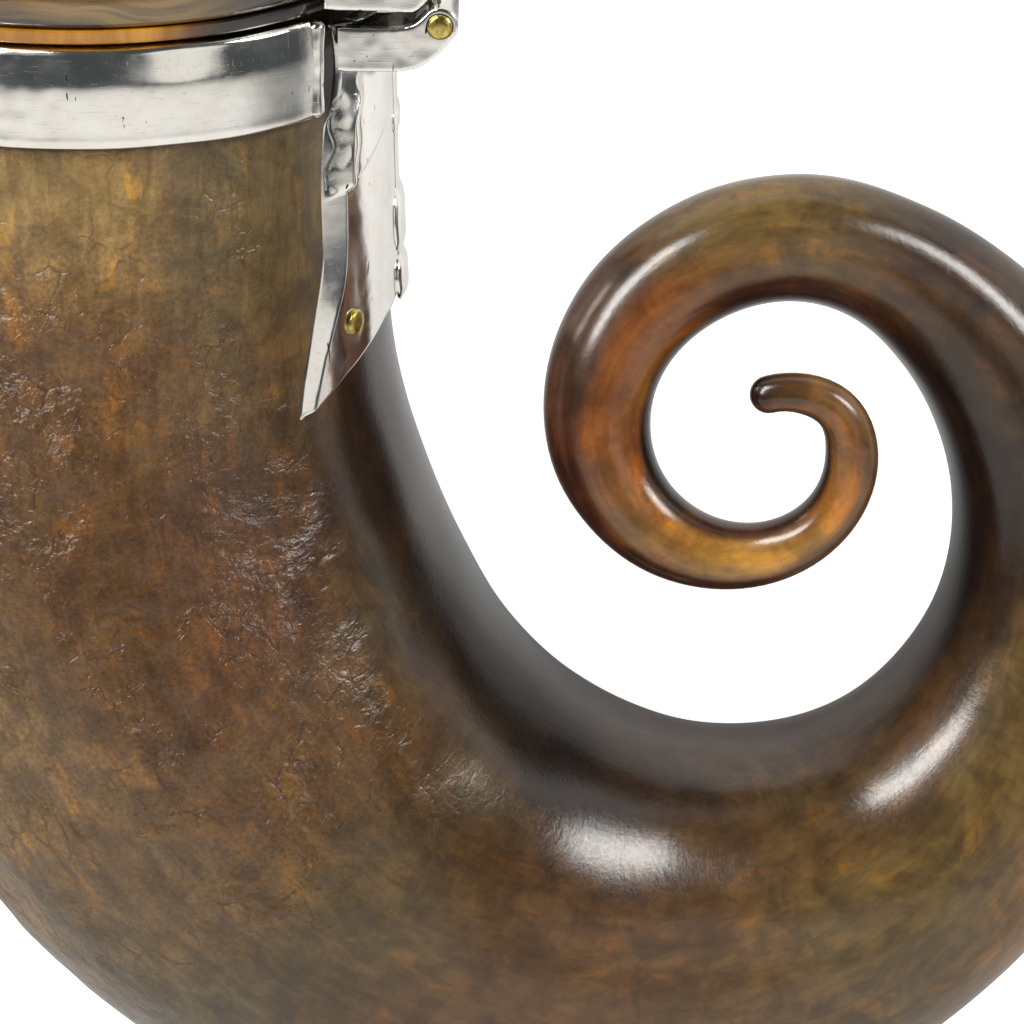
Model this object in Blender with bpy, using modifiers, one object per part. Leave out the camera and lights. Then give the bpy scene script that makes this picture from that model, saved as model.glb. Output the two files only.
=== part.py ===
"""Curled ram's-horn snuff mull: a hollow horn lying on its side, with a silver collar and a hinged silver lid.

Sizes are in millimetres, about the centre of the scroll (x, y) and the surface the horn lies on (z).
place() turns them into metres in the object's own frame. The mouth faces +Y and the scroll lies in XY.
"""

import math

import bpy
import bmesh
import numpy as np
from mathutils import Vector

MM = 0.001
GAP = 0.3  # clearance kept between touching pieces

# Scroll centre in the object's frame, so that the origin is the middle of the underside.
SCROLL_X = 22.0
SCROLL_Y = 7.68

# Horn stations: turn angle (degrees), distance of the centreline from the scroll centre, horn radius, height.
HORN_STATIONS = (
    (144, 67.7, 24.0, 25.3),
    (150, 63.3, 24.0, 25.3),
    (157, 59.5, 24.1, 25.3),
    (165, 56.6, 24.3, 25.3),
    (180, 53.9, 25.0, 25.3),
    (200, 52.1, 25.5, 25.5),
    (225, 51.0, 24.0, 24.1),
    (255, 49.3, 20.0, 20.6),
    (285, 44.8, 14.9, 17.6),
    (315, 36.5, 11.3, 16.6),
    (345, 27.4, 8.8, 17.0),
    (375, 20.9, 6.9, 18.0),
    (405, 17.6, 5.7, 19.2),
    (435, 15.9, 5.4, 21.0),
    (465, 14.5, 5.2, 22.8),
    (495, 13.6, 5.0, 24.2),
    (525, 12.9, 4.7, 25.5),
    (555, 12.2, 4.2, 26.7),
    (600, 11.0, 3.3, 28.2),
    (645, 10.0, 2.6, 29.3),
    (690, 9.2, 2.3, 30.0),
    (720, 8.7, 2.2, 30.4),
    (745, 8.1, 1.9, 30.7),
    (763, 6.95, 1.75, 30.9),
    (777, 6.0, 1.65, 31.0),
    (791, 5.1, 1.6, 31.0),
)
HORN_SIDES = 32
HORN_STEP_DEG = 11.0
CHAMBER_SIDES = 24
CHAMBER_END_DEG = 312.0
MOUTH_WALL = 2.2
CHAMBER_END_SHARE = 0.55  # chamber radius over horn radius where the chamber ends

# Mouth and collar
MOUTH_X = -54.8
MOUTH_Z = 25.3
COLLAR_TOP_Y = 40.65
COLLAR_BOTTOM_Y = 32.3
COLLAR_R = 25.3
COLLAR_INNER_R = 24.35
FLANGE_INNER_R = 22.3
FLANGE_T = 0.5
COLLAR_OPEN_DEG = 42.7  # half the opening that the hinge casting fills
BEAD_DEG = 40.0
BEAD_R = 0.75
RING_STEPS = 60
SLEEVE_STEPS = 84

# Hinge plate
PLATE_T = 1.0
PLATE_OFF = 0.4  # from the horn's side to the plate's inner face
PLATE_TOP_Y = 39.2
TONGUE_T = 0.55
TONGUE_TOP_Y = 34.5
PLATE_PIN_DEG = 30.0
PLATE_PIN_Y = 13.6
PLATE_PIN_R = 0.75
PLATE_PIN_LENGTH = 3.6

# Hinge
PIN_X = MOUTH_X + 29.1
PIN_Y = 40.0
PIN_R = 0.8
PIN_HEAD_R = 1.15
PIN_HEAD_T = 0.5
KNUCKLE_R = 1.55
LUG_OUTER = 16.0  # from the middle of the hinge to a lug's outer face
LUG_T = 5.0
LUG_BOTTOM_Y = 36.2
HINGE_ROUND_R = 25.95  # what the lugs and the leaf are hollowed to

# Lid
LID_BOTTOM_Y = 42.2
RIM_TOP_Y = 47.0
LID_R = 24.9
RIM_WIDEST_R = LID_R + 0.2
DOME_FOOT_Y = RIM_TOP_Y + GAP
DOME_TOP_Y = 52.0
DOME_FLAT_R = 9.0
DOME_T = 1.0
PLUG_SHOULDER_R = 24.5
PLUG_R = 21.3
PLUG_BOTTOM_Y = 36.4
LEAF_FLAT_X = MOUTH_X + 27.8
LEAF_BOTTOM_Y = 41.35
LEAF_TOP_Y = 46.4
THUMB_WIDTH = 7.0
THUMB_T = 1.4
THUMB_Y = 44.65


def clear_scene():
    for obj in list(bpy.data.objects):
        bpy.data.objects.remove(obj, do_unlink=True)
    for collection in list(bpy.data.collections):
        bpy.data.collections.remove(collection)


def collection(name):
    made = bpy.data.collections.new(name)
    bpy.context.scene.collection.children.link(made)
    return made


def place(x, y, z):
    return Vector(((x + SCROLL_X) * MM, (y + SCROLL_Y) * MM, z * MM))


def material(name, colour, metallic, roughness):
    mat = bpy.data.materials.new(name)
    mat.use_nodes = True
    shader = mat.node_tree.nodes["Principled BSDF"]
    shader.inputs["Base Color"].default_value = (*colour, 1.0)
    shader.inputs["Metallic"].default_value = metallic
    shader.inputs["Roughness"].default_value = roughness
    return mat


# ---------------------------------------------------------------- shapes


def smooth_through(xs, ys, at):
    """Natural cubic through the points (xs, ys), read at each value of at."""
    xs = np.asarray(xs, float)
    ys = np.asarray(ys, float)
    count = len(xs)
    step = np.diff(xs)
    system = np.zeros((count, count))
    right = np.zeros(count)
    system[0, 0] = 1.0
    system[-1, -1] = 1.0
    for i in range(1, count - 1):
        system[i, i - 1] = step[i - 1]
        system[i, i] = 2.0 * (step[i - 1] + step[i])
        system[i, i + 1] = step[i]
        right[i] = 6.0 * ((ys[i + 1] - ys[i]) / step[i] - (ys[i] - ys[i - 1]) / step[i - 1])
    bend = np.linalg.solve(system, right)
    i = np.clip(np.searchsorted(xs, at) - 1, 0, count - 2)
    before = (xs[i + 1] - at) / step[i]
    after = 1.0 - before
    cubic = (before**3 - before) * bend[i] + (after**3 - after) * bend[i + 1]
    return before * ys[i] + after * ys[i + 1] + cubic * step[i] ** 2 / 6.0


def horn_at(turns):
    """Centreline points and horn radii at the turn angles given, in degrees."""
    turns = np.asarray(turns, float)
    rows = np.array(HORN_STATIONS)
    distance = smooth_through(rows[:, 0], rows[:, 1], turns)
    radius = smooth_through(rows[:, 0], rows[:, 2], turns)
    height = smooth_through(rows[:, 0], rows[:, 3], turns)
    angle = np.radians(turns)
    points = np.stack([distance * np.cos(angle), distance * np.sin(angle), height], axis=1)
    return points, radius


def hinge_side_radius(y):
    """How far the horn's +X side lies from the mouth's axis at the height y along it."""
    points, radius = horn_at(np.linspace(HORN_STATIONS[0][0], 190, 60))
    side = points[:, 0] + radius - MOUTH_X
    return float(np.interp(y, points[::-1, 1], side[::-1]))


def link(obj, home, mat):
    home.objects.link(obj)
    obj.data.materials.clear()
    if mat:
        obj.data.materials.append(mat)
    return obj


def smooth_shading(mesh):
    mesh.shade_smooth()
    mesh.set_sharp_from_angle(angle=math.radians(40))


def curve_to_mesh(curve_obj, name):
    """A curve object becomes a mesh object with its caps welded."""
    bpy.context.scene.collection.objects.link(curve_obj)
    bpy.context.view_layer.update()
    evaluated = curve_obj.evaluated_get(bpy.context.evaluated_depsgraph_get())
    mesh = bpy.data.meshes.new_from_object(evaluated)
    work = bmesh.new()
    work.from_mesh(mesh)
    bmesh.ops.remove_doubles(work, verts=work.verts, dist=1e-6)
    bmesh.ops.recalc_face_normals(work, faces=work.faces)
    work.to_mesh(mesh)
    work.free()
    obj = bpy.data.objects.new(name, mesh)
    obj.matrix_world = curve_obj.matrix_world.copy()
    bpy.data.objects.remove(curve_obj, do_unlink=True)
    return obj


def tube(name, points, radii, sides, home, mat=None):
    """A round tube with its own radius at each point, closed at both ends."""
    curve = bpy.data.curves.new(name, "CURVE")
    curve.dimensions = "3D"
    curve.twist_mode = "Z_UP"
    curve.bevel_depth = MM
    curve.bevel_resolution = (sides - 4) // 2
    curve.use_fill_caps = True
    line = curve.splines.new("POLY")
    line.points.add(len(points) - 1)
    for knot, point, radius in zip(line.points, points, radii):
        knot.co = (*place(*point), 1.0)
        knot.radius = radius
    source = bpy.data.objects.new(f"{name}_curve", curve)
    obj = link(curve_to_mesh(source, name), home, mat)
    smooth_shading(obj.data)
    return obj


def slab(name, outline, thickness, centre, rotation, home, mat=None):
    """A flat outline of (x, y) points in millimetres, extruded to a thickness about its centre."""
    curve = bpy.data.curves.new(name, "CURVE")
    curve.dimensions = "2D"
    curve.fill_mode = "BOTH"
    curve.extrude = thickness * MM / 2
    line = curve.splines.new("POLY")
    line.points.add(len(outline) - 1)
    for knot, (x, y) in zip(line.points, outline):
        knot.co = (x * MM, y * MM, 0.0, 1.0)
    line.use_cyclic_u = True
    source = bpy.data.objects.new(f"{name}_curve", curve)
    source.location = centre
    source.rotation_euler = rotation
    return link(curve_to_mesh(source, name), home, mat)


def turned(name, profile, home, mat=None, steps=RING_STEPS):
    """A ring turned about the mouth's axis. profile: (radius, y) points, down the outer side and up the inner."""
    mesh = bpy.data.meshes.new(name)
    verts = [(radius * MM, 0.0, y * MM) for radius, y in profile]
    on_axis = profile[0][0] == 0.0 and profile[-1][0] == 0.0
    last = len(verts) - 1 if on_axis else len(verts)
    edges = [(i, (i + 1) % len(verts)) for i in range(last)]
    mesh.from_pydata(verts, edges, [])
    obj = link(bpy.data.objects.new(name, mesh), home, mat)
    obj.location = place(MOUTH_X, 0.0, MOUTH_Z)
    obj.rotation_euler = (-math.pi / 2, 0.0, 0.0)
    screw = obj.modifiers.new("turn", "SCREW")
    screw.steps = steps
    screw.render_steps = steps
    screw.use_merge_vertices = True
    screw.merge_threshold = 0.00001
    screw.use_smooth_shade = True
    return obj


def rod(name, length, radius, centre, direction, home, mat=None, sides=24):
    """A cylinder about its centre, along a direction."""
    mesh = bpy.data.meshes.new(name)
    work = bmesh.new()
    bmesh.ops.create_cone(
        work,
        cap_ends=True,
        segments=sides,
        radius1=radius * MM,
        radius2=radius * MM,
        depth=length * MM,
    )
    work.to_mesh(mesh)
    work.free()
    obj = link(bpy.data.objects.new(name, mesh), home, mat)
    obj.location = centre
    obj.rotation_euler = Vector(direction).to_track_quat("Z", "Y").to_euler()
    smooth_shading(mesh)
    return obj


def boolean(obj, other, operation):
    """Combines obj with another mesh, which stays hidden as a cutter."""
    step = obj.modifiers.new(operation.lower(), "BOOLEAN")
    step.operation = operation
    step.solver = "EXACT"
    step.object = other
    other.hide_render = True
    other.display_type = "WIRE"


def arc(cx, cy, radius, start, end, steps):
    """Points of a round stretch, in degrees anticlockwise."""
    turns = np.radians(np.linspace(start, end, steps + 1))
    return [(cx + radius * math.cos(t), cy + radius * math.sin(t)) for t in turns]


def mirrored(half):
    """A closed outline from the half at x >= 0 that runs from the top middle to the bottom middle."""
    return [*half, *[(-x, y) for x, y in reversed(half) if x > 0.0]]


def wrapped(name, half_outline, inner_gap, thickness, top_y, bottom_y, home, cutters, mat):
    """A piece cut from a sleeve round the horn's straight end, to a mirrored outline seen from +X."""
    heights = np.linspace(top_y, bottom_y, 9)
    inner = [(hinge_side_radius(y) + inner_gap, y) for y in heights]
    outer = [(radius + thickness, y) for radius, y in inner]
    piece = turned(name, [*outer, *reversed(inner)], home, mat, SLEEVE_STEPS)
    outline = mirrored(half_outline)
    # The cutter stands past the sleeve, on the hinge's side only.
    cutter = slab(
        f"{name}_outline",
        outline,
        24.0,
        place(MOUTH_X + 24.0, 0.0, MOUTH_Z),
        (0.0, -math.pi / 2, 0.0),
        cutters,
    )
    boolean(piece, cutter, "INTERSECT")
    return piece


# ---------------------------------------------------------------- pieces


def make_horn(home, cutters, mat):
    """The horn, bored from the mouth into the snuff chamber, with a rounded tip."""
    first = HORN_STATIONS[0][0]
    last = HORN_STATIONS[-1][0]
    straight = np.linspace(first, 225, 12)
    curled = np.arange(225 + HORN_STEP_DEG, last, HORN_STEP_DEG)
    points, radii = horn_at([*straight, *curled, last])
    points = list(points)
    radii = list(radii)
    # Rounded end past the last station.
    along = points[-1] - points[-2]
    along = along / np.linalg.norm(along)
    tip = points[-1]
    tip_radius = radii[-1]
    for turn in (30, 55, 75):
        points.append(tip + along * tip_radius * math.sin(math.radians(turn)))
        radii.append(tip_radius * math.cos(math.radians(turn)))
    horn = tube("horn_body", points, radii, HORN_SIDES, home, mat)

    turns = np.linspace(first, CHAMBER_END_DEG, 16)
    points, radii = horn_at(turns)
    share = np.linspace(0.0, 1.0, len(turns)) ** 1.5
    mouth_share = 1.0 - MOUTH_WALL / radii[0]
    radii = radii * (mouth_share + (CHAMBER_END_SHARE - mouth_share) * share)
    above = points[0] + np.array([0.0, 3.0, 0.0])
    end = points[-1] + (points[-1] - points[-2]) * 0.25
    points = [above, *points, end]
    radii = [radii[0], *radii, radii[-1] * 0.6]
    chamber = tube("chamber_cutter", points, radii, CHAMBER_SIDES, cutters)
    boolean(horn, chamber, "DIFFERENCE")
    return horn


def make_collar(home, cutters, mat):
    """Silver band round the mouth, folded in over its lip and open at the hinge."""
    top = COLLAR_TOP_Y
    profile = [
        (FLANGE_INNER_R, top - 0.15),
        (FLANGE_INNER_R + 0.2, top),
        (COLLAR_R - 0.55, top),
        *arc(COLLAR_R - 0.55, top - 0.55, 0.55, 90, 0, 3)[1:],
        (COLLAR_R - 0.05, COLLAR_BOTTOM_Y + 0.5),
        (COLLAR_R - 0.25, COLLAR_BOTTOM_Y),
        (COLLAR_INNER_R, COLLAR_BOTTOM_Y),
        (COLLAR_INNER_R, top - FLANGE_T),
        (FLANGE_INNER_R, top - FLANGE_T),
    ]
    collar = turned("mouth_collar", profile, home, mat)
    reach = 40.0
    half = math.radians(COLLAR_OPEN_DEG)
    wedge = [
        (0.0, 0.0),
        (reach * math.cos(half), -reach * math.sin(half)),
        (reach * math.cos(half), reach * math.sin(half)),
    ]
    # The wedge's outline lies in XZ and runs right through the band.
    cutter = slab(
        "collar_opening",
        wedge,
        30.0,
        place(MOUTH_X, COLLAR_TOP_Y - 4.0, MOUTH_Z),
        (math.pi / 2, 0.0, 0.0),
        cutters,
    )
    boolean(collar, cutter, "DIFFERENCE")

    for side, name in ((1, "collar_end_bead_front"), (-1, "collar_end_bead_rear")):
        angle = math.radians(BEAD_DEG)
        x = MOUTH_X + (COLLAR_R - 0.2) * math.cos(angle)
        z = MOUTH_Z + side * (COLLAR_R - 0.2) * math.sin(angle)
        ys = np.linspace(COLLAR_TOP_Y - 0.1, COLLAR_BOTTOM_Y + 0.1, 9)
        swell = [BEAD_R * (1.0 + 0.1 * math.sin(2.3 * i)) for i in range(len(ys))]
        swell[0] = BEAD_R * 0.6
        swell[-1] = BEAD_R * 0.6
        tube(name, [(x, y, z) for y in ys], swell, 12, home, mat)
    return collar


def make_plate(home, cutters, horn, silver, brass):
    """Lobed hinge plate round the horn's inner side, its tongue, and the brass pins in its lobes."""
    half = [
        (0.0, PLATE_TOP_Y),
        (14.0, PLATE_TOP_Y),
        (14.2, 30.0),
        (14.6, 22.0),
        (15.0, 18.0),
        (15.9, 15.7),
        (16.9, 12.0),
        (18.0, 6.8),
        (16.2, 7.9),
        (14.5, 9.0),
        (11.3, 10.4),
        (7.5, 11.8),
        (4.5, 12.5),
        (0.0, 12.8),
    ]
    plate = wrapped("hinge_plate", half, PLATE_OFF, PLATE_T, PLATE_TOP_Y + 1, 5.0, home, cutters, silver)

    scallops = [
        (3.0, TONGUE_TOP_Y),
        *[(3.0 + 0.8 * math.sin(t), 27.7 + 0.9 * math.cos(t)) for t in np.linspace(0, math.pi, 7)],
        *[(3.0 + 2.3 * math.sin(t), 19.0 + 2.6 * math.cos(t)) for t in np.linspace(0, math.pi, 9)],
        *[(2.6 + 2.0 * math.sin(t), 14.1 + 1.9 * math.cos(t)) for t in np.linspace(0.2, math.pi * 0.8, 7)],
        (2.2, 12.2),
    ]
    tongue_half = [(0.0, TONGUE_TOP_Y), *scallops, (0.0, 11.9)]
    gap = PLATE_OFF + PLATE_T + GAP
    wrapped("hinge_plate_tongue", tongue_half, gap, TONGUE_T, TONGUE_TOP_Y + 1, 9.0, home, cutters, silver)

    surface = hinge_side_radius(PLATE_PIN_Y) + PLATE_OFF + PLATE_T
    for side, name in ((1, "plate_pin_front"), (-1, "plate_pin_rear")):
        angle = math.radians(PLATE_PIN_DEG)
        direction = Vector((math.cos(angle), 0.0, side * math.sin(angle)))
        head = place(MOUTH_X, PLATE_PIN_Y, MOUTH_Z) + direction * (surface + 0.25) * MM
        middle = head - direction * PLATE_PIN_LENGTH * MM / 2
        rod(name, PLATE_PIN_LENGTH, PLATE_PIN_R, middle, direction, home, brass)
        hole_length = 2 * (PLATE_PIN_LENGTH + GAP)
        hole = rod(f"{name}_hole", hole_length, PLATE_PIN_R + GAP, head, direction, cutters)
        boolean(plate, hole, "DIFFERENCE")
        boolean(horn, hole, "DIFFERENCE")


def round_cutter(name, bottom_y, top_y, cutters):
    """A plug of the mouth's roundness that hollows the hinge castings."""
    profile = [
        (0.0, top_y),
        (HINGE_ROUND_R, top_y),
        (HINGE_ROUND_R, bottom_y),
        (0.0, bottom_y),
    ]
    return turned(name, profile, cutters)


def make_lugs(home, cutters, silver):
    """Two lugs with knuckles, one each side of the lid's barrel."""
    cutter = round_cutter("lug_round", 30.0, 44.0, cutters)
    outline = [
        (PIN_X - 9.6, LUG_BOTTOM_Y),
        (PIN_X - 2.6, LUG_BOTTOM_Y),
        (PIN_X - 0.6, LUG_BOTTOM_Y + 0.6),
        (PIN_X + 0.7, LUG_BOTTOM_Y + 1.7),
        *arc(PIN_X, PIN_Y, KNUCKLE_R, -25, 165, 12),
        (PIN_X - 2.3, PIN_Y - 0.15),
        (PIN_X - 3.4, PIN_Y - 0.3),
        (PIN_X - 9.6, PIN_Y - 0.2),
    ]
    for side, name in ((1, "hinge_lug_front"), (-1, "hinge_lug_rear")):
        z = MOUTH_Z + side * (LUG_OUTER - LUG_T / 2)
        lug = slab(name, outline, LUG_T, place(0.0, 0.0, z), (0.0, 0.0, 0.0), home, silver)
        hole = rod(f"{name}_hole", LUG_T + 2, PIN_R + GAP, place(PIN_X, PIN_Y, z), (0, 0, 1), cutters)
        boolean(lug, cutter, "DIFFERENCE")
        boolean(lug, hole, "DIFFERENCE")


def make_pin(home, brass):
    """Brass hinge pin with a riveted head at each end, turned about the hinge's axis."""
    shank = LUG_OUTER + GAP
    end = shank + PIN_HEAD_T
    half = [(0.0, end), (PIN_HEAD_R * 0.75, end), (PIN_HEAD_R, end - 0.2), (PIN_HEAD_R, shank), (PIN_R, shank)]
    profile = [*half, *[(radius, -z) for radius, z in reversed(half)]]
    mesh = bpy.data.meshes.new("hinge_pin")
    verts = [(radius * MM, 0.0, z * MM) for radius, z in profile]
    mesh.from_pydata(verts, [(i, i + 1) for i in range(len(verts) - 1)], [])
    pin = link(bpy.data.objects.new("hinge_pin", mesh), home, brass)
    pin.location = place(PIN_X, PIN_Y, MOUTH_Z)
    screw = pin.modifiers.new("turn", "SCREW")
    screw.steps = 24
    screw.render_steps = 24
    screw.use_merge_vertices = True
    screw.merge_threshold = 0.00001
    screw.use_smooth_shade = True
    return pin


def make_lid(home, cutters, silver, horn_brown, amber):
    """Horn rim and plug, silver dome, leaf and thumbpiece, all parented to an empty on the hinge's axis."""
    low = LID_BOTTOM_Y
    rim_profile = [
        (LID_R - 1.1, RIM_TOP_Y),
        (LID_R - 0.5, RIM_TOP_Y - 0.3),
        (LID_R - 0.1, low + 3.6),
        (RIM_WIDEST_R, low + 2.4),
        (LID_R + 0.1, low + 1.4),
        (LID_R - 0.2, low + 0.6),
        (LID_R - 0.7, low),
        (PLUG_R + GAP, low),
        (PLUG_R + GAP, RIM_TOP_Y),
    ]
    rim = turned("lid_rim", rim_profile, home, horn_brown)

    outer = [
        (0.0, DOME_TOP_Y),
        (DOME_FLAT_R, DOME_TOP_Y),
        (DOME_FLAT_R + 4.0, DOME_TOP_Y - 0.35),
        (17.5, DOME_TOP_Y - 1.15),
        (21.0, DOME_TOP_Y - 2.4),
        (23.3, DOME_TOP_Y - 3.7),
        (24.0, DOME_FOOT_Y + 0.4),
        (24.0, DOME_FOOT_Y),
    ]
    inner = [
        (22.6, DOME_FOOT_Y),
        (21.8, DOME_TOP_Y - 3.7 - DOME_T * 0.4),
        (16.8, DOME_TOP_Y - 1.15 - DOME_T),
        (DOME_FLAT_R, DOME_TOP_Y - DOME_T),
        (0.0, DOME_TOP_Y - DOME_T),
    ]
    dome = turned("lid_dome", [*outer, *inner], home, silver)

    plug_profile = [
        (0.0, RIM_TOP_Y),
        (PLUG_R, RIM_TOP_Y),
        (PLUG_R, low - GAP),
        (PLUG_SHOULDER_R - 0.3, low - GAP),
        (PLUG_SHOULDER_R, low - GAP - 0.3),
        (PLUG_SHOULDER_R, COLLAR_TOP_Y + GAP + 0.3),
        (PLUG_SHOULDER_R - 0.3, COLLAR_TOP_Y + GAP),
        (PLUG_R, COLLAR_TOP_Y + GAP),
        (PLUG_R - 0.2, PLUG_BOTTOM_Y + 0.8),
        (PLUG_R - 1.0, PLUG_BOTTOM_Y),
        (0.0, PLUG_BOTTOM_Y),
    ]
    plug = turned("lid_plug", plug_profile, home, amber)

    leaf_outline = [
        (PIN_X - 9.8, LEAF_BOTTOM_Y),
        (LEAF_FLAT_X - 0.3, LEAF_BOTTOM_Y),
        (LEAF_FLAT_X, LEAF_BOTTOM_Y + 0.6),
        (LEAF_FLAT_X, LEAF_TOP_Y - 0.6),
        (LEAF_FLAT_X - 0.6, LEAF_TOP_Y),
        (PIN_X - 9.8, LEAF_TOP_Y),
    ]
    leaf_centre = place(0.0, 0.0, MOUTH_Z)
    upright = (0.0, 0.0, 0.0)
    leaf = slab("lid_hinge_leaf", leaf_outline, 2 * LUG_OUTER, leaf_centre, upright, home, silver)
    inside = 2 * (LUG_OUTER - LUG_T - GAP)
    barrel_outline = [
        *arc(PIN_X, PIN_Y, KNUCKLE_R, 190, 390, 14),
        (LEAF_FLAT_X - 0.05, LEAF_BOTTOM_Y + 3.0),
        (LEAF_FLAT_X - 1.0, LEAF_BOTTOM_Y + 3.0),
        (LEAF_FLAT_X - 1.0, LEAF_BOTTOM_Y + 0.2),
    ]
    barrel = slab("leaf_barrel", barrel_outline, inside, leaf_centre, upright, cutters)
    bore = rod("leaf_bore", 40.0, PIN_R + GAP, place(PIN_X, PIN_Y, MOUTH_Z), (0, 0, 1), cutters)
    boolean(leaf, barrel, "UNION")
    boolean(leaf, round_cutter("leaf_round", 40.5, 49.0, cutters), "DIFFERENCE")
    boolean(leaf, bore, "DIFFERENCE")

    thumb_outline = [
        *arc(0.0, 0.0, THUMB_WIDTH / 2, 200, 340, 8),
        *arc(THUMB_WIDTH / 2 - 0.9, 1.5, 0.9, -10, 90, 4),
        *arc(-THUMB_WIDTH / 2 + 0.9, 1.5, 0.9, 90, 190, 4),
    ]
    thumb = slab(
        "lid_thumbpiece",
        thumb_outline,
        THUMB_T,
        place(MOUTH_X - RIM_WIDEST_R - GAP - THUMB_T / 2, THUMB_Y, MOUTH_Z),
        (0.0, -math.pi / 2, 0.0),
        home,
        silver,
    )
    edge = thumb.modifiers.new("rounded", "BEVEL")
    edge.width = 0.3 * MM
    edge.segments = 2

    axis = bpy.data.objects.new("lid_hinge_axis", None)
    home.objects.link(axis)
    axis.location = place(PIN_X, PIN_Y, MOUTH_Z)
    bpy.context.view_layer.update()
    for piece in (rim, dome, plug, leaf, thumb):
        piece.parent = axis
        piece.matrix_parent_inverse = axis.matrix_world.inverted()


def main():
    clear_scene()
    home = collection("rams_horn_snuff_mull")
    cutters = collection("cutters")
    horn_brown = material("horn", (0.10, 0.055, 0.025), 0.0, 0.3)
    silver = material("silver", (0.78, 0.76, 0.72), 1.0, 0.22)
    brass = material("brass", (0.72, 0.53, 0.2), 1.0, 0.3)
    amber = material("amber_horn", (0.35, 0.17, 0.03), 0.0, 0.3)
    horn = make_horn(home, cutters, horn_brown)
    make_collar(home, cutters, silver)
    make_plate(home, cutters, horn, silver, brass)
    make_lugs(home, cutters, silver)
    make_pin(home, brass)
    make_lid(home, cutters, silver, horn_brown, amber)
    cutters.hide_render = True


main()
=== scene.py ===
"""Curled ram's-horn snuff mull: fine shapes, finishes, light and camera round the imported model.

Sizes are in millimetres about the centre of the scroll, as in the CAD. place() turns them into the row frame.
"""

import math

import bmesh
import bpy
import numpy as np
from mathutils import Matrix, Vector


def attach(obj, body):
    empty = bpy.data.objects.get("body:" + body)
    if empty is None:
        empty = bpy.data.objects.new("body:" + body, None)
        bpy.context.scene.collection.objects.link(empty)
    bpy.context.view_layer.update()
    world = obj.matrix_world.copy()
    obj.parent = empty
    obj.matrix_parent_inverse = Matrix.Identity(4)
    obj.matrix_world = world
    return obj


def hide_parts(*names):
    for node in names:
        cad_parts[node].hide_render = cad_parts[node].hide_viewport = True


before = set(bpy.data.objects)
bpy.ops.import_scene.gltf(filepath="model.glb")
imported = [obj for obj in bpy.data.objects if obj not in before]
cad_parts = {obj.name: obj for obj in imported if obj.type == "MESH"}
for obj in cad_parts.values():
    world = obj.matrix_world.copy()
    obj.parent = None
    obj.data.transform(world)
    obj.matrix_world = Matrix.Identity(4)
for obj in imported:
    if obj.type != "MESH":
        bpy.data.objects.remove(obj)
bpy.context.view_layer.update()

MM = 0.001
# The scroll's centre in the row frame.
SCROLL_X = 22.0
SCROLL_Y = 7.68

# Horn stations: turn in degrees, centreline's distance from the scroll's centre, horn radius, height.
HORN_STATIONS = (
    (144, 67.7, 24.0, 25.3), (150, 63.3, 24.0, 25.3), (157, 59.5, 24.1, 25.3),
    (165, 56.6, 24.3, 25.3), (180, 53.9, 25.0, 25.3), (200, 52.1, 25.5, 25.5),
    (225, 51.0, 24.0, 24.1), (255, 49.3, 20.0, 20.6), (285, 44.8, 14.9, 17.6),
    (315, 36.5, 11.3, 16.6), (345, 27.4, 8.8, 17.0), (375, 20.9, 6.9, 18.0),
    (405, 17.6, 5.7, 19.2), (435, 15.9, 5.4, 21.0), (465, 14.5, 5.2, 22.8),
    (495, 13.6, 5.0, 24.2), (525, 12.9, 4.7, 25.5), (555, 12.2, 4.2, 26.7),
    (600, 11.0, 3.3, 28.2), (645, 10.0, 2.6, 29.3), (690, 9.2, 2.3, 30.0),
    (720, 8.7, 2.2, 30.4), (745, 8.1, 1.9, 30.7), (763, 6.95, 1.75, 30.9),
    (777, 6.0, 1.65, 31.0), (791, 5.1, 1.6, 31.0),
)
FIRST_TURN = 144.0
LAST_TURN = 791.0
# The chamber: where it ends, the wall at the mouth, and its share of the horn's radius at its end.
CHAMBER_END_DEG = 312.0
MOUTH_WALL = 2.2
CHAMBER_END_SHARE = 0.55

# The mouth's axis runs along Y. The hinge pin runs along Z.
MOUTH_X = -54.8
MOUTH_Z = 25.3
MOUTH_ROW_X = MOUTH_X + SCROLL_X
PIN_X = MOUTH_X + 29.1
PIN_Y = 40.0
KNUCKLE_RADIUS = 1.52
LUG_OUTER = 16.0
LUG_LENGTH = 5.0
# Angles about the mouth's axis from the hinge, and heights along it.
BAND_DEG = 41.8
BEAD_DEG = 40.2
BEAD_RADIUS = 0.70
PLATE_PIN_DEG = 30.0
PLATE_PIN_Y = 13.6
PLATE_TOP = 39.2

# Roughness of polished silver, and how dark its hollows are.
POLISH = 0.14
TARNISH = 0.5

# Radii of the hollows behind the lugs and the leaf, of their bores and of the hinge pin.
LUG_HOLLOW = 26.2
LEAF_HOLLOW = 25.2
LUG_BORE = 1.12
LEAF_BORE = 1.1
PIN_RADIUS = 1.04

# The camera's aim and distance, in millimetres, its tilt, and the width that it sees at that distance.
AIM = (-19.84, -7.85, 25.0)
CAMERA_DISTANCE = 700.0
CAMERA_TILT_DEG = 20.0
VIEW_WIDTH = 87.04


def place(x, y, z):
    """A point about the scroll's centre, in millimetres, as a row-frame point in metres."""
    return Vector(((x + SCROLL_X) * MM, (y + SCROLL_Y) * MM, z * MM))


def to_frame(points):
    """The same for an array of points."""
    return (np.asarray(points, float) + (SCROLL_X, SCROLL_Y, 0.0)) * MM


# --- number helpers


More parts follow.
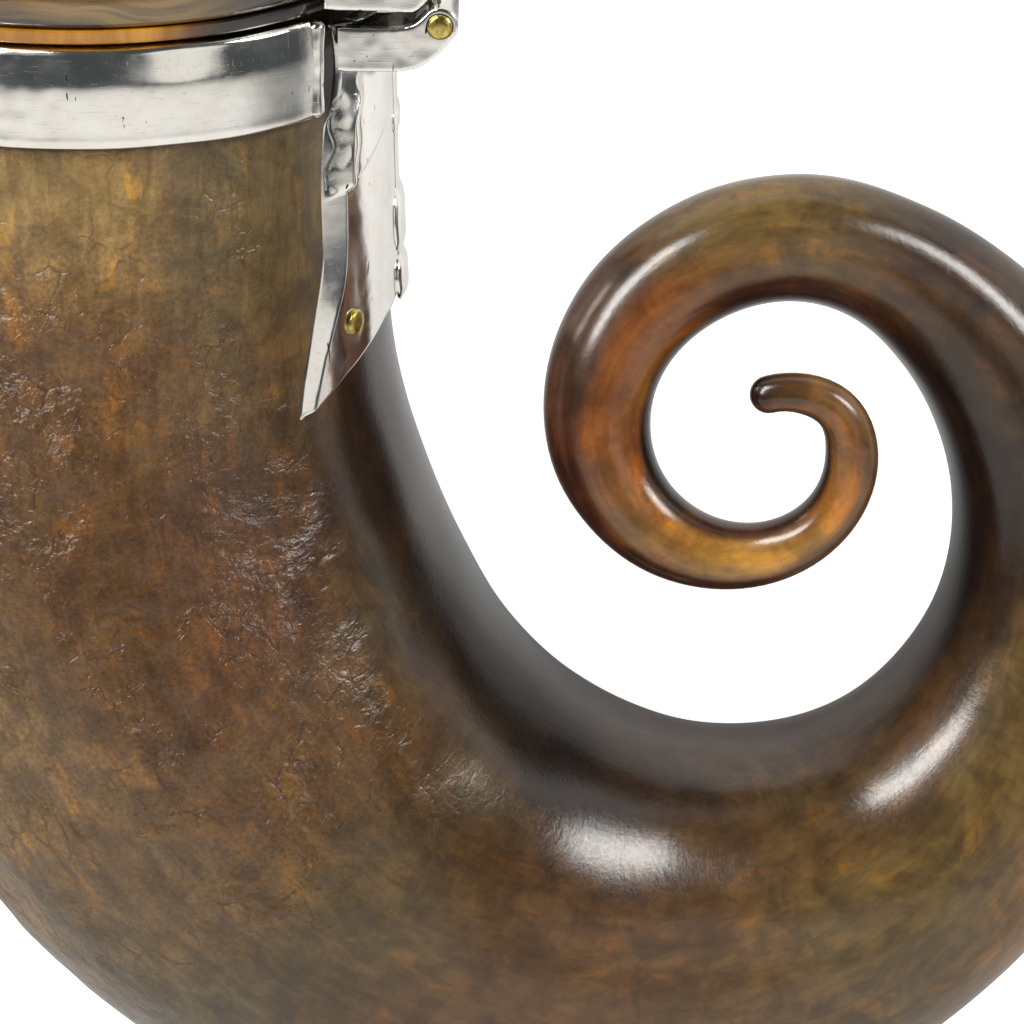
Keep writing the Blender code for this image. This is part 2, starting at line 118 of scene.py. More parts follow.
def smooth_through(xs, ys, at):
    """Natural cubic through the points (xs, ys), read at each value of at."""
    xs = np.asarray(xs, float)
    ys = np.asarray(ys, float)
    count = len(xs)
    step = np.diff(xs)
    system = np.zeros((count, count))
    right = np.zeros(count)
    system[0, 0] = 1.0
    system[-1, -1] = 1.0
    for i in range(1, count - 1):
        system[i, i - 1 : i + 2] = step[i - 1], 2.0 * (step[i - 1] + step[i]), step[i]
        right[i] = 6.0 * ((ys[i + 1] - ys[i]) / step[i] - (ys[i] - ys[i - 1]) / step[i - 1])
    bend = np.linalg.solve(system, right)
    i = np.clip(np.searchsorted(xs, at) - 1, 0, count - 2)
    before = (xs[i + 1] - at) / step[i]
    after = 1.0 - before
    cubic = (before**3 - before) * bend[i] + (after**3 - after) * bend[i + 1]
    return before * ys[i] + after * ys[i + 1] + cubic * step[i] ** 2 / 6.0


def horn_at(turns):
    """Centreline points and horn radii at the turn angles given, in degrees."""
    turns = np.asarray(turns, float)
    rows = np.array(HORN_STATIONS)
    distance, radius, height = (smooth_through(rows[:, 0], rows[:, k], turns) for k in (1, 2, 3))
    angle = np.radians(turns)
    points = np.stack([distance * np.cos(angle), distance * np.sin(angle), height], axis=1)
    return points, radius


SIDE_POINTS, SIDE_RADII = horn_at(np.linspace(FIRST_TURN, 190, 60))
SIDE_Y = SIDE_POINTS[::-1, 1]
SIDE_REACH = (SIDE_POINTS[:, 0] + SIDE_RADII - MOUTH_X)[::-1]


def hinge_side_radius(y):
    """How far the horn's +X side lies from the mouth's axis at the height y along it."""
    return np.interp(y, SIDE_Y, SIDE_REACH)


def fade(value, low, high):
    """Smooth step from 0 at low to 1 at high, or the other way round."""
    t = np.clip((value - low) / (high - low), 0.0, 1.0)
    return t * t * (3.0 - 2.0 * t)


def grain(points, size, seed=0):
    """Gradient noise of about -1 to 1 at points (n, 3), with features of the given size."""
    points = np.asarray(points, float) / size
    cell = np.floor(points).astype(np.int64)
    part = points - cell
    ease = part**3 * (part * (part * 6.0 - 15.0) + 10.0)
    total = np.zeros(len(points))
    for corner in range(8):
        offset = np.array([corner & 1, corner >> 1 & 1, corner >> 2 & 1])
        key = cell + offset
        mixed = key[:, 0] * 73856093 ^ key[:, 1] * 19349663 ^ key[:, 2] * 83492791
        mixed = (mixed ^ (seed + 1) * 2654435761) & 0xFFFFFFFF
        mixed = (mixed ^ mixed >> 15) * 2246822519 & 0xFFFFFFFF
        mixed = (mixed ^ mixed >> 13) * 3266489917 & 0xFFFFFFFF
        mixed = mixed ^ mixed >> 16
        way = np.stack([(mixed & 255), (mixed >> 8 & 255), (mixed >> 16 & 255)], axis=1) / 127.5 - 1.0
        way /= np.linalg.norm(way, axis=1, keepdims=True) + 1e-9
        weight = np.prod(np.where(offset == 1, ease, 1.0 - ease), axis=1)
        total += weight * np.sum(way * (part - offset), axis=1)
    return total * 1.7


def layered(points, size, octaves, seed=0, keep=0.5):
    """Noise in several sizes, each half the last."""
    total = np.zeros(len(points))
    strength = 1.0
    for octave in range(octaves):
        total += strength * grain(points, size / 2**octave, seed + octave * 17)
        strength *= keep
    return total


def terraces(value, sharpness):
    """Steps of height 1 with a short slope between them, as broken layers leave."""
    base = np.floor(value)
    return base + np.clip((value - base - 0.5) * sharpness + 0.5, 0.0, 1.0)


# --- mesh helpers


def linked(name, data):
    """A new object in the scene."""
    obj = bpy.data.objects.new(name, data)
    bpy.context.scene.collection.objects.link(obj)
    return obj


def solid(name, points, faces):
    """A closed mesh from points in millimetres, with its faces outwards, linked to the scene."""
    mesh = bpy.data.meshes.new(name)
    mesh.from_pydata(to_frame(points).tolist(), [], faces)
    work = bmesh.new()
    work.from_mesh(mesh)
    bmesh.ops.recalc_face_normals(work, faces=work.faces)
    work.to_mesh(mesh)
    work.free()
    return linked(name, mesh)


def mesh_object(name, points, faces, mat, body, node, attributes=None, sharp=40):
    """A finished piece from points in millimetres. The attributes give each point's values by name."""
    obj = solid(name, points, faces)
    for key, values in (attributes or {}).items():
        values = np.asarray(values, np.float32)
        width = 1 if values.ndim == 1 else values.shape[1]
        kinds = {1: ("FLOAT", "value"), 3: ("FLOAT_VECTOR", "vector"), 4: ("FLOAT_COLOR", "color")}
        kind, field = kinds[width]
        obj.data.attributes.new(key, kind, "POINT").data.foreach_set(field, values.ravel())
    finish_piece(obj, mat, body, node, sharp)


def finish_piece(obj, mat, body, node, sharp=40):
    """Gives a piece its material, shading and body, and hides the CAD node it stands for."""
    obj.data.materials.clear()
    obj.data.materials.append(mat)
    obj.data.shade_smooth()
    obj.data.set_sharp_from_angle(angle=math.radians(sharp))
    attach(obj, body)
    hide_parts(node)


def ring_faces(rings, around, closed_rows=False):
    """Quads between rings of points, each ring closed."""
    faces = []
    for i in range(rings if closed_rows else rings - 1):
        low = i * around
        high = (i + 1) % rings * around
        for j in range(around):
            k = (j + 1) % around
            faces.append((low + j, low + k, high + k, high + j))
    return faces


def loft(rings):
    """Points and faces through rings of equal count, closed at both ends on a point."""
    rings = np.asarray(rings, float)
    count, around = rings.shape[:2]
    points = list(rings.reshape(-1, 3))
    faces = ring_faces(count, around)
    for ring, turn in ((0, 1), (count - 1, -1)):
        middle = len(points)
        points.append(rings[ring].mean(axis=0))
        base = ring * around
        for j in range(around):
            faces.append((middle, base + (j + 1) % around, base + j)[::turn])
    return np.array(points), faces


def rounded_profile(profile, spacing):
    """A closed profile with its corners cut soft, and points at most one spacing apart."""
    points = np.asarray(profile, float)
    for _ in range(2):
        after = np.roll(points, -1, axis=0)
        points = np.stack([points * 0.75 + after * 0.25, points * 0.25 + after * 0.75], axis=1)
        points = points.reshape(-1, 2)
    made = []
    for here, there in zip(points, np.roll(points, -1, axis=0)):
        pieces = max(1, int(np.ceil(np.linalg.norm(there - here) / spacing)))
        made.extend(here + (there - here) * k / pieces for k in range(pieces))
    return np.array(made)


def spun(profile, first_deg, last_deg, steps, wobble=None):
    """A closed (radius, y) profile turned about the mouth's axis, all round or between two angles."""
    profile = np.asarray(profile, float)
    whole = abs(last_deg - first_deg) >= 360.0
    angles = np.radians(np.linspace(first_deg, last_deg, steps + (0 if whole else 1), endpoint=not whole))
    turn, radius = np.meshgrid(angles, profile[:, 0], indexing="ij")
    height = np.tile(profile[:, 1], (len(angles), 1))
    if wobble:
        radius, height = wobble(radius, height, turn)
    points = np.stack([MOUTH_X + radius * np.cos(turn), height, MOUTH_Z + radius * np.sin(turn)], axis=2)
    around = len(profile)
    faces = ring_faces(len(angles), around, closed_rows=whole)
    if not whole:
        faces.append(tuple(range(around)))
        faces.append(tuple(reversed(range((len(angles) - 1) * around, len(angles) * around))))
    return points.reshape(-1, 3), faces


def on_axis(radius, height, turn):
    """Points about the mouth's axis as the origin, one per row, for noise."""
    return np.stack([radius * np.cos(turn), height, radius * np.sin(turn)], axis=2).reshape(-1, 3)


def disc(profile, steps):
    """A profile that starts and ends on the mouth's axis, turned all round it."""
    profile = np.asarray(profile, float)
    inner = profile[1:-1]
    points, faces = spun(inner, 0, 360, steps)
    around = len(inner)
    faces = [f for k, f in enumerate(faces) if (k % around) != around - 1]
    points = list(points)
    for column, end in ((0, profile[0]), (around - 1, profile[-1])):
        middle = len(points)
        points.append((MOUTH_X, end[1], MOUTH_Z))
        for i in range(steps):
            faces.append((middle, i * around + column, (i + 1) % steps * around + column))
    return np.array(points), faces


def prism(name, outline, thickness, middle, way="z"):
    """An outline extruded to a thickness about a middle: (x, y) along z, or (z, y) along x."""
    count = len(outline)
    points = []
    for depth in (-0.5 * thickness, 0.5 * thickness):
        for a, b in outline:
            points.append(np.add(middle, (a, b, depth) if way == "z" else (depth, b, a)))
    faces = [(j, (j + 1) % count, count + (j + 1) % count, count + j) for j in range(count)]
    faces += [tuple(range(count)), tuple(range(count, 2 * count))]
    return solid(name, points, faces)


def settle(obj):
    """Replaces the object's mesh with its modifiers' result."""
    bpy.context.view_layer.update()
    evaluated = obj.evaluated_get(bpy.context.evaluated_depsgraph_get())
    mesh = bpy.data.meshes.new_from_object(evaluated)
    obj.modifiers.clear()
    obj.data = mesh


def combine(obj, other, operation="DIFFERENCE"):
    """Combines two solids and drops the second."""
    step = obj.modifiers.new("combine", "BOOLEAN")
    step.operation = operation
    step.solver = "EXACT"
    step.object = other
    settle(obj)
    bpy.data.objects.remove(other, do_unlink=True)


def cast(obj, voxel, smoothing, dents, dent_size, seed):
    """Gives a solid the soft edges and slight waviness of worn cast metal."""
    step = obj.modifiers.new("remesh", "REMESH")
    step.mode = "VOXEL"
    step.voxel_size = voxel * MM
    soften = obj.modifiers.new("soften", "SMOOTH")
    soften.factor = 0.5
    soften.iterations = smoothing
    settle(obj)
    vertices = obj.data.vertices
    points = np.array([vertex.co for vertex in vertices])
    normals = np.array([vertex.normal for vertex in vertices])
    push = layered(points / MM, dent_size, 2, seed) * dents * MM
    vertices.foreach_set("co", (points + normals * push[:, None]).ravel())


def sheet(half_width, u, y, front, back):
    """A curved sheet on the horn's side: shares u of its half width, heights y, its two skins' radii."""
    rows, columns = u.shape
    z = u * half_width
    points = []
    for radius in (front, back):
        x = MOUTH_X + np.sqrt(radius**2 - z**2)
        points.append(np.stack([x, y, MOUTH_Z + z], axis=2).reshape(-1, 3))
    total = rows * columns
    faces = []
    for i in range(rows - 1):
        for j in range(columns - 1):
            a = i * columns + j
            quad = (a, a + 1, a + columns + 1, a + columns)
            faces.append(quad)
            faces.append(tuple(total + k for k in reversed(quad)))
    border = list(range(columns))
    border += [i * columns + columns - 1 for i in range(1, rows)]
    border += [(rows - 1) * columns + j for j in range(columns - 2, -1, -1)]
    border += [i * columns for i in range(rows - 2, 0, -1)]
    for here, there in zip(border, border[1:] + border[:1]):
        faces.append((here, there, total + there, total + here))
    return np.vstack(points), faces


# --- material helpers


class NodeTree:
    """A small builder for node trees."""

    def __init__(self, tree):
        self.tree = tree

    def node(self, kind, settings=None, **inputs):
        """A new shader node; its inputs are given by name, or by number as i0, i1 and so on."""
        made = self.tree.nodes.new("ShaderNode" + kind)
        for key, value in (settings or {}).items():
            setattr(made, key, value)
        for key, value in inputs.items():
            by_number = key[0] == "i" and key[1:].isdigit()
            self.feed(made.inputs[int(key[1:]) if by_number else key.replace("_", " ")], value)
        return made

    def feed(self, socket, value):
        if isinstance(value, bpy.types.NodeSocket):
            self.tree.links.new(value, socket)
        elif isinstance(value, tuple) and len(value) == 3 and socket.type == "RGBA":
            socket.default_value = (*value, 1.0)
        else:
            socket.default_value = value

    def math(self, operation, a, b=0.0, c=0.0, clamp=False):
        settings = {"operation": operation, "use_clamp": clamp}
        return self.node("Math", settings, i0=a, i1=b, i2=c).outputs[0]

    def times(self, a, b):
        return self.math("MULTIPLY", a, b)

    def vector(self, operation, a, b, part="Vector"):
        return self.node("VectorMath", {"operation": operation}, i0=a, i1=b).outputs[part]

    def split(self, vector):
        return self.node("SeparateXYZ", i0=vector).outputs

    def between(self, value, low, high, out_low=0.0, out_high=1.0):
        """A smooth step from out_low at low to out_high at high."""
        settings = {"interpolation_type": "SMOOTHSTEP"}
        inputs = {"i0": value, "i1": low, "i2": high, "i3": out_low, "i4": out_high}
        return self.node("MapRange", settings, **inputs).outputs[0]

    def mix(self, factor, a, b, blend="MIX"):
        settings = {"data_type": "RGBA", "blend_type": blend, "clamp_factor": True}
        return self.node("Mix", settings, i0=factor, i6=a, i7=b).outputs[2]


class Shader(NodeTree):
    """A material with one Principled shader."""

    def __init__(self, name):
        self.mat = bpy.data.materials.new(name)
        self.mat.use_nodes = True
        super().__init__(self.mat.node_tree)
        self.principled = self.tree.nodes["Principled BSDF"]

    def set(self, **inputs):
        for key, value in inputs.items():
            self.feed(self.principled.inputs[key.replace("_", " ")], value)

    def attribute(self, name, part="Fac"):
        return self.node("Attribute", {"attribute_name": name}).outputs[part]

    def stretch(self, vector, factors):
        return self.vector("MULTIPLY", vector, factors)

    def millimetres(self):
        return self.stretch(self.node("TexCoord").outputs["Object"], (1000.0, 1000.0, 1000.0))

    def noise(self, vector, scale, detail=3.0, roughness=0.5, distortion=0.0):
        inputs = {"Vector": vector, "Scale": scale, "Detail": detail, "Roughness": roughness}
        return self.node("TexNoise", Distortion=distortion, **inputs).outputs["Fac"]

    def swirl(self, vector, scale, detail, reach):
        """The vector pushed about by a soft noise."""
        warp = self.node("TexNoise", Vector=vector, Scale=scale, Detail=detail).outputs["Color"]
        settings = {"operation": "MULTIPLY_ADD"}
        return self.node("VectorMath", settings, i0=warp, i1=reach, i2=vector).outputs[0]

    def cells(self, vector, scale, feature="F1"):
        return self.node("TexVoronoi", {"feature": feature}, Vector=vector, Scale=scale).outputs

    def shaded(self, colour, shade, factor=1.0):
        """The colour with a share of it multiplied by the shade."""
        return self.mix(factor, colour, self.mix(1.0, colour, shade, "MULTIPLY"))

    def bump(self, height, distance, strength=1.0, under=None):
        made = self.node("Bump", Strength=strength, Distance=distance * MM, Height=height)
        if under:
            self.feed(made.inputs["Normal"], under)
        return made.outputs["Normal"]


def tone(red, green, blue):
    """A screen colour of 0 to 255 as linear light."""
    shares = [value / 255.0 for value in (red, green, blue)]
    return tuple(v / 12.92 if v <= 0.04045 else ((v + 0.055) / 1.055) ** 2.4 for v in shares)


# --- materials


def horn_material():
    """Polished old horn: flaky and crazed on the belly, glassy in the curl."""
    s = Shader("horn_polished")
    flow = s.attribute("flow", "Vector")
    tint = s.attribute("tint", "Color")
    wear = s.attribute("wear")
    spot = s.millimetres()

    warped = s.swirl(spot, 0.12, 2.0, (9.0, 9.0, 9.0))

    # Colour: mottling, fibres along the horn, amber streaks and a fine speckle.
    mottle = s.noise(warped, 0.3, 6.0, 0.62)
    colour = s.shaded(tint, s.mix(s.between(mottle, 0.3, 0.7), (0.68, 0.66, 0.60), (1.30, 1.26, 1.04)))
    fibres = s.noise(s.stretch(flow, (0.14, 0.9, 0.9)), 1.1, 5.0, 0.62, 0.6)
    colour = s.shaded(colour, s.mix(s.between(fibres, 0.3, 0.72), (0.80, 0.77, 0.76), (1.2, 1.22, 1.22)))
    streaks = s.noise(s.stretch(flow, (0.11, 0.5, 0.5)), 1.0, 4.0, 0.55, 1.2)
    amber = s.times(s.between(streaks, 0.54, 0.66), s.between(mottle, 0.42, 0.58))
    colour = s.shaded(colour, (1.6, 1.25, 0.55), s.times(amber, 0.7))
    speck = s.noise(spot, 2.4, 4.0, 0.7)
    shade = s.mix(s.between(speck, 0.36, 0.64), (0.66, 0.64, 0.62), (1.34, 1.34, 1.3))
    colour = s.shaded(colour, shade, s.times(wear, 0.85))

    # Scales: tilted plates that lift at their lower edge, on the worn part only.
    torn = s.swirl(s.stretch(flow, (0.75, 1.0, 1.0)), 0.55, 3.0, (1.6, 1.6, 1.6))
    scaly = s.times(s.between(s.noise(warped, 0.16, 2.0, 0.5), 0.40, 0.56), wear)
    large_torn = s.vector("ADD", torn, (31.0, 31.0, 31.0))
    small = s.cells(torn, 0.42)
    large = s.cells(large_torn, 0.95)
    small_lean = s.split(s.vector("SUBTRACT", torn, small["Position"]))[0]
    large_lean = s.split(s.vector("SUBTRACT", large_torn, large["Position"]))[0]
    border = s.cells(torn, 0.42, "DISTANCE_TO_EDGE")["Distance"]
    shadow = s.times(s.between(border, 0.0, 0.07, 1.0, 0.0), scaly)
    shadow = s.times(shadow, s.between(mottle, 0.44, 0.56))
    colour = s.mix(s.times(shadow, 0.75), colour, tone(46, 28, 20))
    shade = s.mix(small["Color"], (0.8, 0.78, 0.76), (1.22, 1.2, 1.1))
    colour = s.shaded(colour, shade, s.times(scaly, 0.7))

    # Painted highlights: light flecks on the edges of lifted flakes.
    glint_cells = s.cells(s.stretch(torn, (0.7, 1.0, 1.0)), 0.8)["Distance"]
    painted_glint = s.times(s.between(glint_cells, 0.03, 0.11, 1.0, 0.0), s.between(speck, 0.5, 0.6))
    colour = s.mix(s.times(s.times(painted_glint, scaly), 0.6), colour, tone(190, 168, 132))

    rough = s.math("ADD", s.between(speck, 0.3, 0.7, 0.18, 0.25), s.times(wear, 0.14))
    s.set(Base_Color=colour, Roughness=rough, IOR=1.54, Specular_IOR_Level=0.5)

    pebble = s.noise(s.stretch(torn, (1.0, 0.8, 0.8)), 1.7, 3.0, 0.6)
    normal = s.bump(s.times(pebble, s.between(wear, 0.0, 1.0, 0.08, 1.0)), 0.42, 0.5)
    fine = s.noise(spot, 3.4, 4.0, 0.62)
    normal = s.bump(s.times(fine, s.between(wear, 0.0, 1.0, 0.12, 1.0)), 0.12, 0.4, normal)
    for lean, depth in ((small_lean, 0.28), (large_lean, 0.16)):
        normal = s.bump(s.times(lean, scaly), depth, 0.75, normal)
    normal = s.bump(s.times(shadow, -1.0), 0.12, 0.7, normal)
    hairs = s.noise(s.stretch(flow, (0.05, 2.5, 2.5)), 1.6, 3.0, 0.6)
    normal = s.bump(hairs, 0.015, 0.35, normal)
    s.set(Normal=normal)
    return s.mat


def silver_material():
    """Old hand-worked silver: wavy polish, fine scratches, dark tarnish in the hollows."""
    s = Shader("old_silver")
    spot = s.millimetres()
    cloud = s.noise(spot, 0.35, 4.0, 0.6)
    dirt = s.noise(spot, 1.8, 5.0, 0.7)
    hollow = s.node("NewGeometry").outputs["Pointiness"]
    pits = s.times(s.between(hollow, 0.44, 0.495, 1.0, 0.0), s.between(dirt, 0.35, 0.6, 0.5, 1.0))
    stain = s.times(s.between(dirt, 0.62, 0.72), 0.25)
    stain = s.math("ADD", s.times(pits, TARNISH), stain, clamp=True)
    base = s.mix(s.between(cloud, 0.3, 0.7), tone(236, 232, 222), tone(246, 244, 238))
    base = s.mix(stain, base, tone(78, 64, 56))
    # Tarnish given by the plate's own values, with painted shade under the lug.
    tarnish_and_shade = s.times(s.attribute("tarnish_and_shade"), s.between(dirt, 0.3, 0.55, 0.6, 1.0))
    base = s.mix(tarnish_and_shade, base, tone(96, 100, 92))
    # Painted shade between the lugs, near black.
    x, y, z = s.split(spot)
    lug_side = MOUTH_Z + LUG_OUTER
    inside = s.between(z, lug_side - 1.1, lug_side - 0.5, 1.0, 0.0)
    inside = s.times(inside, s.between(y, 46.9, 47.3))
    inside = s.times(inside, s.between(y, 48.6, 49.0, 1.0, 0.0))
    inside = s.times(inside, s.between(x, -15.0, -14.0))
    base = s.mix(s.times(inside, 0.93), base, tone(30, 26, 24))
    # A few deep dark scratches and many fine ones.
    scored = s.swirl(spot, 0.05, 1.0, (9.0, 9.0, 9.0))
    scored = s.noise(s.stretch(scored, (2.6, 0.42, 2.6)), 0.8, 1.0, 0.5)
    scored = s.times(s.between(scored, 0.735, 0.745), s.between(cloud, 0.46, 0.54))
    base = s.mix(scored, base, tone(70, 62, 56))
    rough = s.math("ADD", s.between(cloud, 0.3, 0.7, POLISH * 0.7, POLISH * 1.3), s.times(stain, 0.3))
    scratch = s.noise(s.stretch(spot, (0.35, 3.0, 0.35)), 1.7, 2.0, 0.6, 0.4)
    cross = s.noise(s.stretch(spot, (2.6, 0.5, 2.6)), 1.3, 2.0, 0.6, 1.5)
    s.set(Base_Color=base, Metallic=1.0, Roughness=rough)
    normal = s.bump(s.noise(spot, 0.28, 2.0, 0.5), 0.08, 0.5)
    normal = s.bump(s.between(scratch, 0.62, 0.68), 0.003, 0.5, normal)
    normal = s.bump(s.between(cross, 0.66, 0.7), 0.003, 0.5, normal)
    normal = s.bump(scored, -0.02, 0.5, normal)
    s.set(Normal=normal)
    return s.mat


def brass_material():
    """Worn polished brass."""
    s = Shader("brass_pins")
    spot = s.millimetres()
    dirt = s.noise(spot, 2.2, 4.0, 0.65)
    base = s.mix(s.between(dirt, 0.35, 0.7), tone(222, 200, 116), tone(176, 156, 80))
    s.set(Base_Color=base, Metallic=1.0, Roughness=s.between(dirt, 0.3, 0.7, 0.16, 0.36))
    s.set(Normal=s.bump(s.noise(spot, 4.0, 3.0, 0.6), 0.02, 0.4))
    return s.mat


def amber_material():
    """Clear amber horn of the plug, with painted shade darkening its outer ring towards the hinge."""
    s = Shader("amber_horn_clear")
    spot = s.millimetres()
    bands = s.noise(s.stretch(spot, (0.16, 0.02, 0.16)), 1.0, 3.0, 0.6)
    base = s.mix(s.between(bands, 0.35, 0.65), tone(138, 84, 14), tone(196, 136, 32))
    fine = s.noise(s.stretch(spot, (1.5, 0.2, 1.5)), 1.0, 3.0, 0.6)
    base = s.mix(s.between(fine, 0.4, 0.7, 0.0, 0.25), base, tone(90, 52, 14))
    # Painted shade: the plug's outer ring goes near black towards the hinge.
    level = s.stretch(spot, (1.0, 0.0, 1.0))
    from_axis = s.vector("DISTANCE", level, (MOUTH_ROW_X, 0.0, MOUTH_Z), "Value")
    painted_hinge_shade = s.times(s.between(s.split(spot)[0], -27.5, -20.5), s.between(from_axis, 20.0, 23.0))
    base = s.mix(painted_hinge_shade, base, tone(22, 14, 10))
    s.set(Base_Color=base, Roughness=0.22, Coat_Weight=0.5, Coat_Roughness=0.08, IOR=1.54)
    s.set(Normal=s.bump(fine, 0.03, 0.4))
    return s.mat


def rim_material():
    """Glossy olive and brown horn of the lid's rim, in slanting flowing bands, with painted shade at its left
    and towards the hinge.
    """
    s = Shader("banded_horn")
    spot = s.millimetres()
    flowing = s.swirl(spot, 0.10, 2.0, (3.0, 5.0, 3.0))
    bands = s.noise(s.stretch(flowing, (0.06, 0.55, 0.06)), 1.0, 3.0, 0.5)
    base = s.mix(s.between(bands, 0.36, 0.5), tone(46, 34, 24), tone(104, 80, 42))
    base = s.mix(s.between(bands, 0.52, 0.66), base, tone(128, 102, 56))
    veins = s.noise(s.stretch(flowing, (0.12, 1.8, 0.12)), 1.0, 3.0, 0.6)
    base = s.mix(s.between(veins, 0.52, 0.66, 0.0, 0.5), base, tone(58, 40, 24))
    # Painted shade: the rim darker at the far left, and darker still towards the hinge.
    across = s.split(spot)[0]
    base = s.mix(s.between(across, -44.0, -34.0, 0.75, 0.0), base, tone(40, 30, 26))
    base = s.mix(s.between(across, -24.0, -18.0, 0.0, 0.85), base, tone(26, 20, 18))
    s.set(Base_Color=base, Roughness=0.10, IOR=1.54, Specular_IOR_Level=1.0)
    s.set(Normal=s.bump(veins, 0.03, 0.4))
    return s.mat


# --- the horn

SAND = tone(150, 124, 84)
TAN = tone(134, 106, 70)
OCHRE = tone(140, 100, 46)
BROWN = tone(112, 80, 48)
OLIVE = tone(106, 86, 54)
MOSS = tone(112, 96, 70)
UMBER = tone(90, 64, 40)
DARK = tone(62, 45, 32)
NIGHT = tone(36, 24, 19)
MAROON = tone(74, 42, 30)
PLUM = tone(82, 60, 50)
RUST = tone(132, 80, 42)
AMBER = tone(142, 92, 40)
GOLD = tone(176, 130, 62)

# Colours by distance along the horn: on its outer side, its crown, the slope inwards and its inner side.
SHADES = (
    (12, SAND, SAND, MOSS, OLIVE),
    (18, TAN, TAN, OLIVE, DARK),
    (26, BROWN, BROWN, OLIVE, DARK),
    (34, BROWN, BROWN, UMBER, NIGHT),
    (46, TAN, BROWN, UMBER, NIGHT),
    (56, TAN, BROWN, BROWN, DARK),
    (66, TAN, BROWN, UMBER, NIGHT),
    (78, MOSS, OLIVE, UMBER, NIGHT),
    (92, BROWN, BROWN, UMBER, NIGHT),
    (110, BROWN, BROWN, UMBER, DARK),
    (130, OLIVE, OLIVE, UMBER, DARK),
    (146, OCHRE, OLIVE, UMBER, DARK),
    (162, OLIVE, OLIVE, DARK, NIGHT),
    (178, UMBER, DARK, NIGHT, NIGHT),
    (192, DARK, DARK, NIGHT, NIGHT),
    (202, DARK, UMBER, MAROON, NIGHT),
    (209, OLIVE, OLIVE, MAROON, NIGHT),
    (216, OLIVE, BROWN, MAROON, NIGHT),
    (223, PLUM, RUST, RUST, NIGHT),
    (230, PLUM, RUST, AMBER, NIGHT),
    (236, MAROON, RUST, RUST, NIGHT),
    (243, MAROON, BROWN, AMBER, DARK),
    (253, MAROON, GOLD, GOLD, MAROON),
    (259, BROWN, GOLD, AMBER, DARK),
    (265, BROWN, AMBER, AMBER, NIGHT),
    (270, BROWN, AMBER, BROWN, DARK),
    (275, BROWN, BROWN, AMBER, MAROON),
    (279, NIGHT, NIGHT, MAROON, NIGHT),
)

# Patches of colour on the horn: middle, size, colour, strength.
PATCHES = (
    ((-58, 26, 49), 9, SAND, 0.6), ((-41, 20, 45), 8, OLIVE, 0.7),
    ((-52, 9, 48), 7, BROWN, 0.5), ((-38, 13, 43), 5, OCHRE, 0.4),
    ((-57, 15, 49), 6, BROWN, 0.6), ((-49, 3, 49), 6, OCHRE, 0.35),
    ((-32, 2, 37), 6, DARK, 0.7), ((-30, -6, 37), 7, NIGHT, 0.8),
    ((-39, 6, 45), 5, TAN, 0.5), ((-44, 8, 48), 5, TAN, 0.5),
    ((-44, -1, 48), 5, MAROON, 0.6), ((-37, -8, 47), 5, MAROON, 0.5),
    ((-44, -10, 49), 6, UMBER, 0.6), ((-51, 0, 49), 6, UMBER, 0.4),
    ((-31, -27, 45), 5, UMBER, 0.5), ((-42, -10, 49), 6, RUST, 0.35),
    ((-31, -12, 42), 5, MOSS, 0.5), ((-33, -19, 46), 6, OCHRE, 0.4),
    ((-46, -21, 50), 5, MAROON, 0.35), ((-37, -24, 49), 7, OCHRE, 0.3),
    ((-57, -24, 48), 8, TAN, 0.6), ((-50, -32, 48), 9, TAN, 0.5),
    ((-21, -22, 36), 7, NIGHT, 0.8), ((-24, -27, 43), 6, OLIVE, 0.5),
    ((-14, -27, 34), 7, NIGHT, 0.6), ((6, -34, 29), 7, OLIVE, 0.5),
)


def horn_colours(points, along, around):
    """Base colour of the horn: the shades along and round it, wandering a little, then the patches."""
    wander = np.stack([grain(points, 14, seed) for seed in (5, 6, 7)], axis=1)
    size = np.interp(along, [120, 200, 260], [1.0, 0.45, 0.25])
    along = along + 7.0 * size * wander[:, 0]
    turn = np.degrees(np.arccos(np.clip(np.cos(around), -1.0, 1.0))) + 14.0 * wander[:, 1]
    stops = [row[0] for row in SHADES]
    sides = []
    for column in range(1, 5):
        shades = np.array([row[column] for row in SHADES])
        sides.append(np.stack([np.interp(along, stops, shades[:, k]) for k in range(3)], axis=1))
    colour = sides[0]
    for start, end, side in ((58, 84, sides[1]), (102, 122, sides[2]), (132, 152, sides[3])):
        share = fade(turn, start, end)[:, None]
        colour = colour * (1 - share) + side * share
    moved = points + 5.0 * wander
    for middle, size, shade, strength in PATCHES:
        gap = np.linalg.norm(moved - middle, axis=1) / size
        weight = strength * np.exp(-1.2 * gap**2)
        colour = colour * (1 - weight[:, None]) + np.array(shade) * weight[:, None]
    # Painted shade: darker just under the collar's lower edge, near black on the horn beneath it.
    collar_shade = fade(points[:, 1], 31.85, 32.15)[:, None]
    colour = colour * (1 - collar_shade) + np.array(NIGHT) * 0.4 * collar_shade
    gain = np.interp(along, [0, 20, 32, 90, 112, 150, 200], [0.80, 0.78, 0.60, 0.60, 0.68, 0.78, 0.84])
    return colour * gain[:, None]


def ring_ways(middles, around):
    """Directions from each centreline point to its ring's points, and the centreline's own directions."""
    tangents = np.gradient(middles, axis=0)
    tangents /= np.linalg.norm(tangents, axis=1, keepdims=True)
    outward = np.cross(tangents, (0.0, 0.0, 1.0))
    outward /= np.linalg.norm(outward, axis=1, keepdims=True)
    upward = np.cross(outward, tangents)
    around = around[None, :, None]
    return np.cos(around) * outward[:, None, :] + np.sin(around) * upward[:, None, :], tangents


